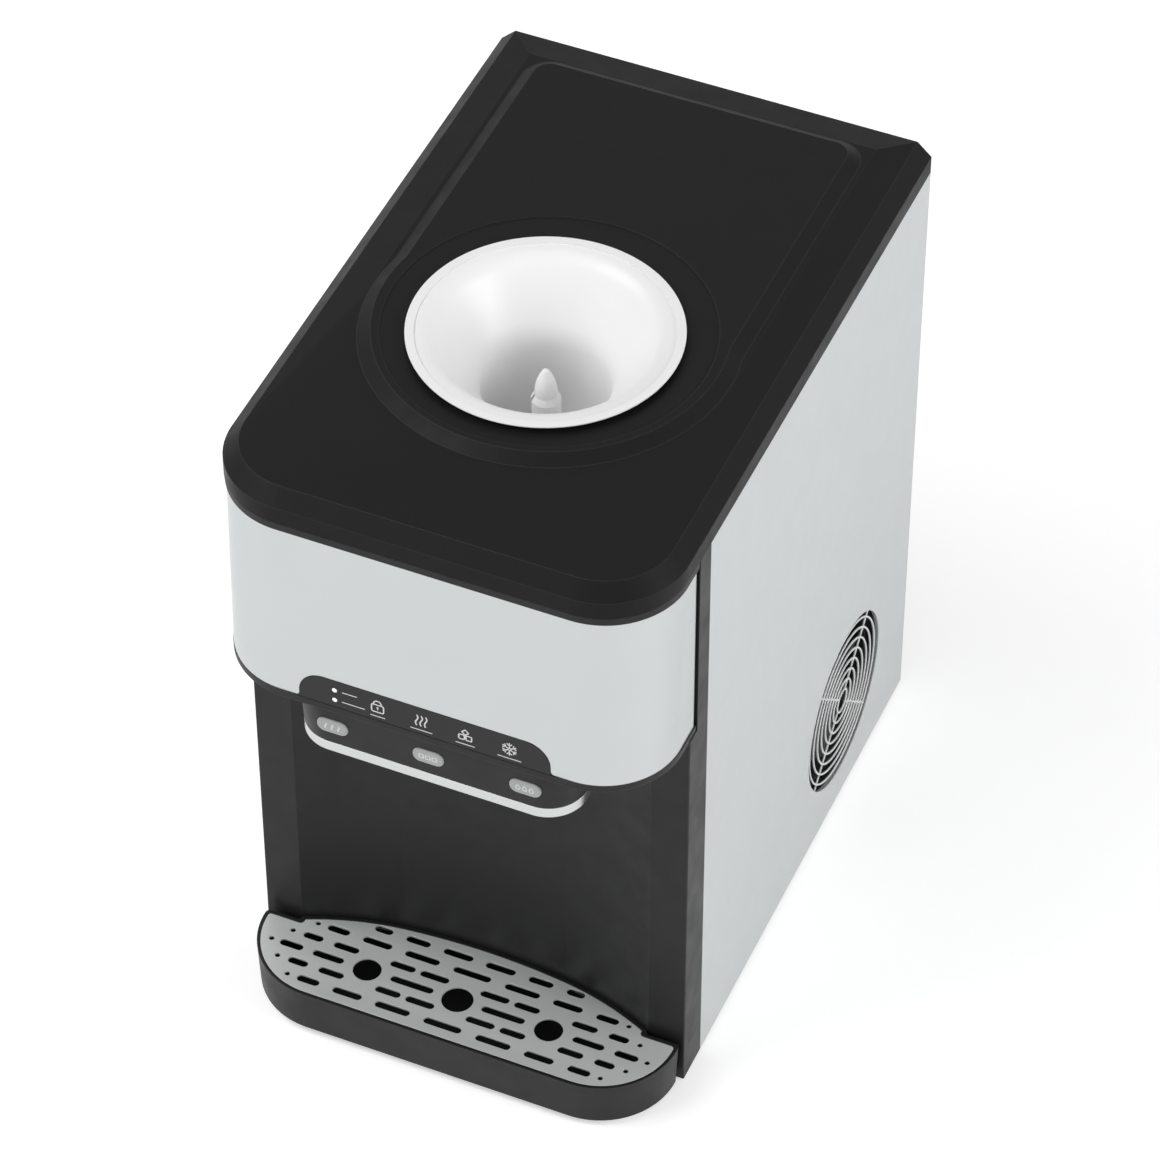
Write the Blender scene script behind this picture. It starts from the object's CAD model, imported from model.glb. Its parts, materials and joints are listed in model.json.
import json
import math

import bmesh
import bpy
from mathutils import Matrix, Vector
from mathutils.bvhtree import BVHTree


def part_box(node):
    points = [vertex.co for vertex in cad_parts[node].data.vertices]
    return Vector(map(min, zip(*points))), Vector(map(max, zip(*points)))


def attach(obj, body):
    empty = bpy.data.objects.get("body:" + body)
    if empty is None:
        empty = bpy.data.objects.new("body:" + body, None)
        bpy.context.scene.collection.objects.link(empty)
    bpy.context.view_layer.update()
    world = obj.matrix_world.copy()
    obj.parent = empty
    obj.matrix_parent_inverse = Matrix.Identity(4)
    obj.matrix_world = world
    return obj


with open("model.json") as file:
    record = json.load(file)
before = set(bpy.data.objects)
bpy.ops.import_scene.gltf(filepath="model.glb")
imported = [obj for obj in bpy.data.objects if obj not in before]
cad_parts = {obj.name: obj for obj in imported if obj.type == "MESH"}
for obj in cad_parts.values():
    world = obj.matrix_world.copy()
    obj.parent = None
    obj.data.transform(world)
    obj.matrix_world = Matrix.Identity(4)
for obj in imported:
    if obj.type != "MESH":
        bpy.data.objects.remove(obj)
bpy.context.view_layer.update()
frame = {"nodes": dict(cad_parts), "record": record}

scene = bpy.context.scene
MM = 0.001
BEVEL_SAMPLES = 4
CLOUD_DETAIL = 4.0
GRAIN_DETAIL = 3.0
SMEAR_DETAIL = 5.0
SMEARS_PER_CLOUD = 3.0
SMEAR_LOW, SMEAR_HIGH = 0.3, 0.7
GLOSS_LIMIT = 0.02
SUBSURFACE_DEPTH = 4 * MM

# Helpers for nodes and finishes


def add_node(tree, kind, inputs=None, **settings):
    """A shader node with its settings; an input may be a value or another node's output."""
    node = tree.nodes.new(kind)
    for key, value in settings.items():
        setattr(node, key, value)
    for key, value in (inputs or {}).items():
        if isinstance(value, bpy.types.NodeSocket):
            tree.links.new(value, node.inputs[key])
        else:
            node.inputs[key].default_value = value
    return node


def rgba(colour):
    """The colour as a node takes it, opaque."""
    return (*colour, 1.0)


def shade(colour, factor):
    """A lighter or darker form of a colour."""
    return tuple(min(1.0, channel * factor) for channel in colour)


def new_tree(name):
    """A material with an empty node tree."""
    material = bpy.data.materials.new(name)
    material.use_nodes = True
    material.node_tree.nodes.clear()
    return material, material.node_tree


def mix_colours(tree, share, first, second):
    """A colour between two others; a mix node's colour sockets have the numbers 6, 7 and 2."""
    return add_node(
        tree, "ShaderNodeMix", {0: share, 6: first, 7: second}, data_type="RGBA"
    ).outputs[2]


def make_material(
    name,
    colour,
    rough,
    metallic=0.0,
    spread=0.06,
    cloud=18.0,
    rough_spread=0.06,
    grain=1400.0,
    grain_height=0.012,
    stretch=(1.0, 1.0, 1.0),
    edge=0.0006,
    wear=0.15,
    rub_shade=1.6,
    rub_reach=0.8,
    specular=0.5,
    emission=0.0,
    subsurface=0.0,
):
    """One finish: cloudy colour, uneven gloss, fine grain, and soft rubbed edges."""
    material, tree = new_tree(name)
    place = add_node(tree, "ShaderNodeTexCoord").outputs["Object"]
    run = add_node(tree, "ShaderNodeMapping", {"Vector": place, "Scale": stretch}).outputs["Vector"]
    clouds = add_node(
        tree, "ShaderNodeTexNoise", {"Vector": place, "Scale": cloud, "Detail": CLOUD_DETAIL}
    )
    fine = add_node(
        tree, "ShaderNodeTexNoise", {"Vector": run, "Scale": grain, "Detail": GRAIN_DETAIL}
    )
    smears = add_node(
        tree,
        "ShaderNodeTexNoise",
        {"Vector": run, "Scale": cloud * SMEARS_PER_CLOUD, "Detail": SMEAR_DETAIL},
    )
    darker, lighter = rgba(shade(colour, 1.0 - spread)), rgba(shade(colour, 1.0 + spread))
    tint = mix_colours(tree, clouds.outputs["Fac"], darker, lighter)
    rounded = add_node(tree, "ShaderNodeBevel", {"Radius": edge}, samples=BEVEL_SAMPLES)
    geometry = add_node(tree, "ShaderNodeNewGeometry")
    facing = add_node(
        tree,
        "ShaderNodeVectorMath",
        {0: rounded.outputs["Normal"], 1: geometry.outputs["Normal"]},
        operation="DOT_PRODUCT",
    )
    rub = add_node(
        tree,
        "ShaderNodeMapRange",
        {"Value": facing.outputs["Value"], "From Min": 1.0, "From Max": rub_reach, "To Max": wear},
    )
    rubbed = mix_colours(tree, rub.outputs["Result"], tint, rgba(shade(colour, rub_shade)))
    gloss = add_node(
        tree,
        "ShaderNodeMapRange",
        {
            "Value": smears.outputs["Fac"],
            "From Min": SMEAR_LOW,
            "From Max": SMEAR_HIGH,
            "To Min": max(GLOSS_LIMIT, rough - rough_spread),
            "To Max": rough + rough_spread,
        },
    )
    bump = add_node(
        tree,
        "ShaderNodeBump",
        {
            "Height": fine.outputs["Fac"],
            "Strength": 1.0,
            "Distance": grain_height * MM,
            "Normal": rounded.outputs["Normal"],
        },
    )
    shader = add_node(
        tree,
        "ShaderNodeBsdfPrincipled",
        {
            "Base Color": rubbed,
            "Roughness": gloss.outputs["Result"],
            "Normal": bump.outputs["Normal"],
            "Metallic": metallic,
            "Specular IOR Level": specular,
            "Emission Color": rgba(colour),
            "Emission Strength": emission,
            "Subsurface Weight": subsurface,
            "Subsurface Scale": SUBSURFACE_DEPTH,
        },
    )
    out = add_node(tree, "ShaderNodeOutputMaterial")
    tree.links.new(shader.outputs["BSDF"], out.inputs["Surface"])
    return material


MOULDED = dict(
    colour=(0.0104, 0.0104, 0.0106),
    rough=0.45,
    grain=1600,
    grain_height=0.016,
    edge=0.0009,
    wear=0.8,
    rub_shade=4.5,
    rub_reach=0.965,
)
# One finish for each slot of the record, and matt_black for the lid.
finishes = {
    "black_plastic": dict(**MOULDED, specular=0.25),
    "matt_black": dict(**MOULDED, specular=0.09),
    "gloss_black": dict(
        colour=(0.008, 0.008, 0.0082), rough=0.2, specular=0.3, grain_height=0.002, wear=0.1
    ),
    "steel_band": dict(
        colour=(0.55, 0.572, 0.572),
        rough=0.24,
        metallic=0.9,
        spread=0.02,
        rough_spread=0.03,
        grain=700,
        grain_height=0.003,
        stretch=(0.02, 0.02, 1.0),
    ),
    "bright_trim": dict(
        colour=(0.60, 0.61, 0.61), rough=0.25, metallic=0.9, spread=0.02, grain_height=0.002
    ),
    "side_grey": dict(
        colour=(0.605, 0.63, 0.635), rough=0.5, spread=0.015, grain=900, grain_height=0.006, wear=0.2
    ),
    "white_plastic": dict(
        colour=(0.93, 0.93, 0.93), rough=0.36, spread=0.01, grain_height=0.003, wear=0.0
    ),
    "button_grey": dict(colour=(0.46, 0.47, 0.475), rough=0.4, spread=0.04, grain_height=0.006),
    "grille_metal": dict(
        colour=(0.62, 0.635, 0.635),
        rough=0.42,
        metallic=0.3,
        spread=0.04,
        grain=900,
        grain_height=0.004,
        stretch=(0.05, 1.0, 1.0),
    ),
    "guard_wire": dict(colour=(0.74, 0.76, 0.76), rough=0.4, spread=0.02, grain_height=0.004),
    "lens": dict(colour=(0.85, 0.85, 0.86), rough=0.3, spread=0.01, wear=0.0, emission=0.4),
    "board": dict(colour=(0.03, 0.12, 0.05), rough=0.4, spread=0.15, cloud=90),
    "zinc_steel": dict(
        colour=(0.42, 0.43, 0.44), rough=0.42, metallic=0.6, spread=0.1, cloud=60, grain_height=0.004
    ),
    "rubber": dict(colour=(0.02, 0.02, 0.02), rough=0.8, spread=0.15, grain_height=0.03),
    "seal_rubber": dict(colour=(0.35, 0.35, 0.36), rough=0.6, spread=0.06, grain_height=0.02),
    "stainless": dict(
        colour=(0.58, 0.58, 0.59), rough=0.28, metallic=1.0, spread=0.03, stretch=(1.0, 1.0, 0.05)
    ),
    "copper": dict(colour=(0.72, 0.38, 0.25), rough=0.35, metallic=1.0, spread=0.12, cloud=80),
    "fins": dict(
        colour=(0.70, 0.71, 0.72), rough=0.4, metallic=1.0, spread=0.05, stretch=(1.0, 0.05, 1.0)
    ),
    "nickel": dict(colour=(0.62, 0.61, 0.58), rough=0.25, metallic=1.0, spread=0.04),
    "compressor_black": dict(colour=(0.02, 0.02, 0.02), rough=0.35, spread=0.1, grain_height=0.02),
    "tank_plastic": dict(colour=(0.75, 0.77, 0.78), rough=0.45, spread=0.03, subsurface=0.2),
    "foam": dict(colour=(0.25, 0.25, 0.26), rough=0.9, spread=0.1, grain=500, grain_height=0.25),
    "hose": dict(colour=(0.70, 0.70, 0.68), rough=0.35, spread=0.04, subsurface=0.2),
    "fan_plastic": dict(colour=(0.02, 0.02, 0.02), rough=0.4, spread=0.08, grain_height=0.015),
    "rocker": dict(colour=(0.03, 0.03, 0.03), rough=0.25, spread=0.05, grain_height=0.004),
    "rocker_red": dict(colour=(0.55, 0.02, 0.02), rough=0.25, spread=0.05, grain_height=0.004),
    "screw": dict(colour=(0.6, 0.6, 0.6), rough=0.25, metallic=1.0, spread=0.05),
    "brass_coil": dict(colour=(0.55, 0.38, 0.12), rough=0.35, metallic=1.0, spread=0.1),
}
materials = {slot: make_material(slot, **finish) for slot, finish in finishes.items()}
node_slots = {row["node"]: row["material_slot"] for row in frame["record"]["subparts"]}
# The lid has a duller grain than the other black parts.
node_slots["lid"] = "matt_black"
for node_name, node in frame["nodes"].items():
    node.data.materials.clear()
    node.data.materials.append(materials[node_slots[node_name]])

# Prints on the panel and buttons

PRINT_LIFT = 0.05 * MM
PRINT_DEPTH = 0.12 * MM
RAY_START = 10 * MM
POINT_STEP = 1.0


def surface_of(node_name):
    """The faces of a CAD node, to lay prints on."""
    mesh = frame["nodes"][node_name].data
    return BVHTree.FromPolygons(
        [vertex.co.copy() for vertex in mesh.vertices], [list(p.vertices) for p in mesh.polygons]
    )


def resample(points, closed, step):
    """The same line with points no further apart than step."""
    out = []
    count = len(points)
    for index in range(count if closed else count - 1):
        a, b = Vector(points[index]), Vector(points[(index + 1) % count])
        pieces = max(1, math.ceil((b - a).length / step))
        out += [a.lerp(b, k / pieces) for k in range(pieces)]
    if not closed:
        out.append(Vector(points[-1]))
    return out


def ribbon(mesh, points, width, closed):
    """A flat line of one width along points in millimetres, x and z, added to the mesh."""
    line = resample(points, closed, POINT_STEP)
    count = len(line)
    rails = []
    for index, point in enumerate(line):
        before = line[index - 1] if closed or index else point
        after = line[(index + 1) % count] if closed or index < count - 1 else point
        along = (after - before).normalized()
        side = Vector((-along.y, along.x)) * (width / 2)
        rails.append([mesh.verts.new((p.x, 0.0, p.y)) for p in (point - side, point + side)])
    for index in range(count if closed else count - 1):
        (a, b), (c, d) = rails[index], rails[(index + 1) % count]
        mesh.faces.new((a, b, d, c))


def patch(mesh, points):
    """A filled outline in millimetres, added to the mesh."""
    mesh.faces.new([mesh.verts.new((x, 0.0, z)) for x, z in points])


def lay_print(name, draw, place, node_name, body):
    """Draws a flat sign in millimetres, lays it on a node's front face, and lets it ride."""
    sign = bmesh.new()
    draw(sign)
    tree = surface_of(node_name)
    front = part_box(node_name)[0].y
    for vertex in sign.verts:
        x = (place[0] + vertex.co.x) * MM
        z = (place[1] + vertex.co.z) * MM
        hit = tree.ray_cast(Vector((x, front - RAY_START, z)), Vector((0, 1, 0)))[0]
        y = hit.y if hit else front
        vertex.co = Vector((x, y - PRINT_LIFT, z))
    bmesh.ops.recalc_face_normals(sign, faces=sign.faces)
    for face in sign.faces:
        if face.normal.y > 0:
            face.normal_flip()
    made = bmesh.ops.extrude_face_region(sign, geom=list(sign.faces))
    for vertex in [v for v in made["geom"] if isinstance(v, bmesh.types.BMVert)]:
        vertex.co.y += PRINT_DEPTH
    bmesh.ops.recalc_face_normals(sign, faces=sign.faces)
    data = bpy.data.meshes.new(name)
    sign.to_mesh(data)
    sign.free()
    piece = bpy.data.objects.new(name, data)
    scene.collection.objects.link(piece)
    data.materials.append(print_material)
    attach(piece, body)


def arc(centre, radius, start, end, steps=8):
    """Points along an arc in degrees."""
    return [
        (
            centre[0] + radius * math.cos(math.radians(start + (end - start) * k / steps)),
            centre[1] + radius * math.sin(math.radians(start + (end - start) * k / steps)),
        )
        for k in range(steps + 1)
    ]


def rounded_box(centre, width, height, radius):
    """The outline of a box with rounded corners."""
    x, z = width / 2 - radius, height / 2 - radius
    out = []
    for across, up, start in ((1, 1, 0), (-1, 1, 90), (-1, -1, 180), (1, -1, 270)):
        corner = (centre[0] + across * x, centre[1] + up * z)
        out += arc(corner, radius, start, start + 90, 5)
    return out


LINE = 0.95


def draw_lock(mesh):
    """A padlock with its keyhole."""
    ribbon(mesh, rounded_box((0, -1.2), 8.4, 6.2, 1.2), LINE, True)
    ribbon(mesh, [(-2.7, 2.0)] + arc((0, 2.6), 2.7, 180, 0) + [(2.7, 2.0)], LINE, False)
    patch(mesh, arc((0, -0.6), 0.75, 0, 330, 11))
    ribbon(mesh, [(0, -1.2), (0, -2.6)], 0.6, False)


WAVE_STEPS = 16


def wave(x, height, swing):
    """One line of steam."""
    shares = [k / WAVE_STEPS for k in range(WAVE_STEPS + 1)]
    return [
        (x + swing * math.sin(2.0 * math.pi * share), height * (share - 0.5)) for share in shares
    ]


def draw_steam(mesh):
    """Three lines of steam."""
    for x in (-3.1, 0.0, 3.1):
        ribbon(mesh, wave(x, 9.2, -0.85), 1.0, False)


def draw_cubes(mesh):
    """Two cubes side by side with a turned one on top."""
    for centre in ((-2.5, -2.3), (2.5, -2.3)):
        ribbon(mesh, rounded_box(centre, 3.9, 3.9, 0.8), LINE, True)
    ribbon(mesh, [(0, 4.6), (-2.4, 2.3), (0, 0.0), (2.4, 2.3)], LINE, True)


def draw_flake(mesh):
    """A snowflake of six branched rays."""
    for index in range(6):
        angle = math.radians(60 * index + 90)
        ray = Vector((math.cos(angle), math.sin(angle)))
        side = Vector((-ray.y, ray.x))
        ribbon(mesh, [tuple(ray * 0.5), tuple(ray * 5.4)], LINE, False)
        for turn in (-1, 1):
            root = ray * 2.8
            tip = ray * 4.6 + side * turn * 1.8
            ribbon(mesh, [tuple(root), tuple(tip)], 0.8, False)


def draw_bar(width, height=0.7):
    """A plain short bar, where a small caption would be."""

    def draw(mesh):
        patch(mesh, rounded_box((0, 0), width, height, height / 2.001))

    return draw


def draw_row(kind):
    """Three small signs in a row on a button."""

    def draw(mesh):
        for x in (-4.6, 0.0, 4.6):
            if kind == "steam":
                ribbon(mesh, wave(x, 4.6, -0.5), 1.05, False)
            elif kind == "cube":
                ribbon(mesh, rounded_box((x, 0), 3.1, 3.1, 0.5), 0.9, True)
            else:
                drop = [(x, 2.3)] + arc((x, -0.6), 1.45, 25, -205, 12)
                ribbon(mesh, drop, 0.85, True)

    return draw


print_material = make_material(
    "print_white", (0.80, 0.81, 0.81), 0.5, spread=0.03, grain_height=0.004, wear=0.0, edge=0.0001
)
# Heights over the floor and places from the middle, in millimetres.
SIGN_HEIGHT = 350.9
CAPTION_HEIGHT = 342.8
BUTTON_HEIGHT = 313.5
BUTTON_REACH = 67.2
PANEL_SIGNS = (
    ("lock", draw_lock, -32.0, 10.5),
    ("steam", draw_steam, -1.7, 15.5),
    ("cubes", draw_cubes, 28.7, 13.5),
    ("flake", draw_flake, 59.1, 16.5),
)
LENS_CAPTIONS = (("upper", -51.5, 353.9, 10.5), ("lower", -49.0, 345.4, 16.0))
BUTTON_SIGNS = (("hot", "steam", -BUTTON_REACH), ("ice", "cube", 0.0), ("cold", "drop", BUTTON_REACH))
panel_prints = []
for name, draw, x, caption in PANEL_SIGNS:
    panel_prints.append((name, draw, (x, SIGN_HEIGHT)))
    panel_prints.append((f"{name}_bar", draw_bar(caption), (x, CAPTION_HEIGHT)))
for name, x, z, width in LENS_CAPTIONS:
    panel_prints.append((f"{name}_bar", draw_bar(width), (x, z)))
for name, draw, place in panel_prints:
    lay_print(f"panel_{name}", draw, place, "control_panel", "case")
for name, kind, x in BUTTON_SIGNS:
    button = f"{name}_button"
    lay_print(f"{button}_sign", draw_row(kind), (x, BUTTON_HEIGHT), button, button)

# Floor, backdrop and light


def set_ramp(node, levels):
    """Gives a ramp its grey levels, as pairs of a place and a level."""
    stops = node.color_ramp.elements
    for place, level in levels:
        stops.new(place).color = (level, level, level, 1.0)
    stops.remove(stops[0])
    stops.remove(stops[-1])


def seen_directly(tree):
    """One where the camera, a reflection or a clear material looks, and zero for soft light."""
    path = add_node(tree, "ShaderNodeLightPath")
    mirrored = add_node(
        tree,
        "ShaderNodeMath",
        {0: path.outputs["Is Glossy Ray"], 1: path.outputs["Is Transmission Ray"]},
        operation="MAXIMUM",
    )
    seen = add_node(
        tree,
        "ShaderNodeMath",
        {0: path.outputs["Is Camera Ray"], 1: mirrored.outputs[0]},
        operation="MAXIMUM",
    )
    return seen.outputs[0]


def make_floor():
    """A pale floor that the camera sees as white, with the object's soft shadow on it."""
    mesh = bpy.data.meshes.new("floor")
    corners = [(-1, -1), (1, -1), (1, 1), (-1, 1)]
    mesh.from_pydata(
        [(FLOOR_HALF * x, FLOOR_HALF * y, -FLOOR_GAP) for x, y in corners], [], [(0, 1, 2, 3)]
    )
    floor = bpy.data.objects.new("floor", mesh)
    scene.collection.objects.link(floor)
    material, tree = new_tree("floor_white")
    place = add_node(tree, "ShaderNodeTexCoord").outputs["Object"]
    speckle = add_node(tree, "ShaderNodeTexNoise", {"Vector": place, "Scale": FLOOR_SPECKLE})
    tone = add_node(
        tree,
        "ShaderNodeMapRange",
        {"Value": speckle.outputs["Fac"], "To Min": FLOOR_TONES[0], "To Max": FLOOR_TONES[1]},
    )
    diffuse = add_node(tree, "ShaderNodeBsdfDiffuse", {"Color": tone.outputs["Result"]})
    distance = add_node(tree, "ShaderNodeVectorMath", {0: place}, operation="LENGTH")
    level = add_node(
        tree,
        "ShaderNodeMapRange",
        {
            "Value": distance.outputs["Value"],
            "From Min": NEAR_FLOOR,
            "From Max": FAR_FLOOR,
            "To Min": FLOOR_GLOW,
            "To Max": FAR_GLOW,
        },
        interpolation_type="SMOOTHSTEP",
    )
    glow = add_node(tree, "ShaderNodeEmission", {"Strength": level.outputs["Result"]})
    lifted = add_node(tree, "ShaderNodeAddShader", {0: diffuse.outputs[0], 1: glow.outputs[0]})
    surface = add_node(
        tree,
        "ShaderNodeMixShader",
        {0: seen_directly(tree), 1: diffuse.outputs[0], 2: lifted.outputs[0]},
    )
    out = add_node(tree, "ShaderNodeOutputMaterial")
    tree.links.new(surface.outputs[0], out.inputs["Surface"])
    mesh.materials.append(material)


def make_world():
    """White to the camera and in reflections, and a soft grey dome for the light."""
    world = bpy.data.worlds.new("studio")
    world.use_nodes = True
    tree = world.node_tree
    tree.nodes.clear()
    place = add_node(tree, "ShaderNodeTexCoord").outputs["Generated"]
    parts = add_node(tree, "ShaderNodeSeparateXYZ", {"Vector": place})
    height = add_node(tree, "ShaderNodeValToRGB", {"Fac": parts.outputs["Z"]})
    set_ramp(height, DOME_LEVELS)
    dome = add_node(tree, "ShaderNodeBackground", {"Strength": height.outputs["Color"]})
    white = add_node(tree, "ShaderNodeBackground", {"Color": rgba(WHITE), "Strength": 1.0})
    mix = add_node(
        tree,
        "ShaderNodeMixShader",
        {0: seen_directly(tree), 1: dome.outputs[0], 2: white.outputs[0]},
    )
    out = add_node(tree, "ShaderNodeOutputWorld")
    tree.links.new(mix.outputs[0], out.inputs["Surface"])
    scene.world = world


def softbox(name, place, target, width, height, power):
    """A rectangular studio lamp aimed at a point."""
    lamp = bpy.data.lights.new(name, "AREA")
    lamp.shape = "RECTANGLE"
    lamp.size = width
    lamp.size_y = height
    lamp.energy = power
    holder = bpy.data.objects.new(name, lamp)
    holder.location = place
    aim = Vector(target) - Vector(place)
    holder.rotation_euler = aim.to_track_quat("-Z", "Y").to_euler()
    scene.collection.objects.link(holder)


WHITE = (1.0, 1.0, 1.0)
FLOOR_HALF = 12.0
FLOOR_GAP = 0.4 * MM
FLOOR_SPECKLE = 60.0
FLOOR_TONES = (0.8, 0.82)
# The lamps reach the near floor only, so the far floor glows more.
NEAR_FLOOR, FAR_FLOOR = 1.2, 4.5
FLOOR_GLOW, FAR_GLOW = 0.47, 0.74
# Heights on the dome, as the sine of the angle, with their levels.
DOME_LEVELS = ((0.01, 0.2), (0.15, 0.36), (0.3, 0.5), (0.52, 0.56), (0.66, 0.32), (0.99, 0.27))
CENTRE = (0.0, 0.0, 0.3)
make_floor()
make_world()
softbox("key", (-1.6, -1.0, 2.6), CENTRE, 2.0, 2.0, 48.0)
softbox("right", (2.6, 0.0, 1.4), CENTRE, 1.6, 1.6, 38.0)
softbox("front", (0.2, -3.0, 1.0), CENTRE, 2.0, 1.4, 12.0)

# Camera


LENS, SENSOR = 166.34, 36.0
CAMERA_PLACE = (1.0152, -2.31964, 2.80593)
AZIMUTH, ELEVATION, ROLL = 23.536, 45.155, -0.10
FAR_CLIP = 60.0


def make_camera():
    """The photograph's own viewpoint, worked out from the object's edges."""
    data = bpy.data.cameras.new("camera")
    data.lens = LENS
    data.sensor_width = SENSOR
    data.sensor_fit = "HORIZONTAL"
    data.clip_end = FAR_CLIP
    camera = bpy.data.objects.new("camera", data)
    scene.collection.objects.link(camera)
    azimuth, elevation, roll = map(math.radians, (AZIMUTH, ELEVATION, ROLL))
    back = Vector(
        (
            math.sin(azimuth) * math.cos(elevation),
            -math.cos(azimuth) * math.cos(elevation),
            math.sin(elevation),
        )
    )
    right = Vector((math.cos(azimuth), math.sin(azimuth), 0.0))
    up = back.cross(right)
    turned_right = right * math.cos(roll) + up * math.sin(roll)
    turned_up = up * math.cos(roll) - right * math.sin(roll)
    turn = Matrix((turned_right, turned_up, back)).transposed().to_4x4()
    camera.matrix_world = Matrix.Translation(CAMERA_PLACE) @ turn
    scene.camera = camera


make_camera()
scene.view_settings.view_transform = "Standard"
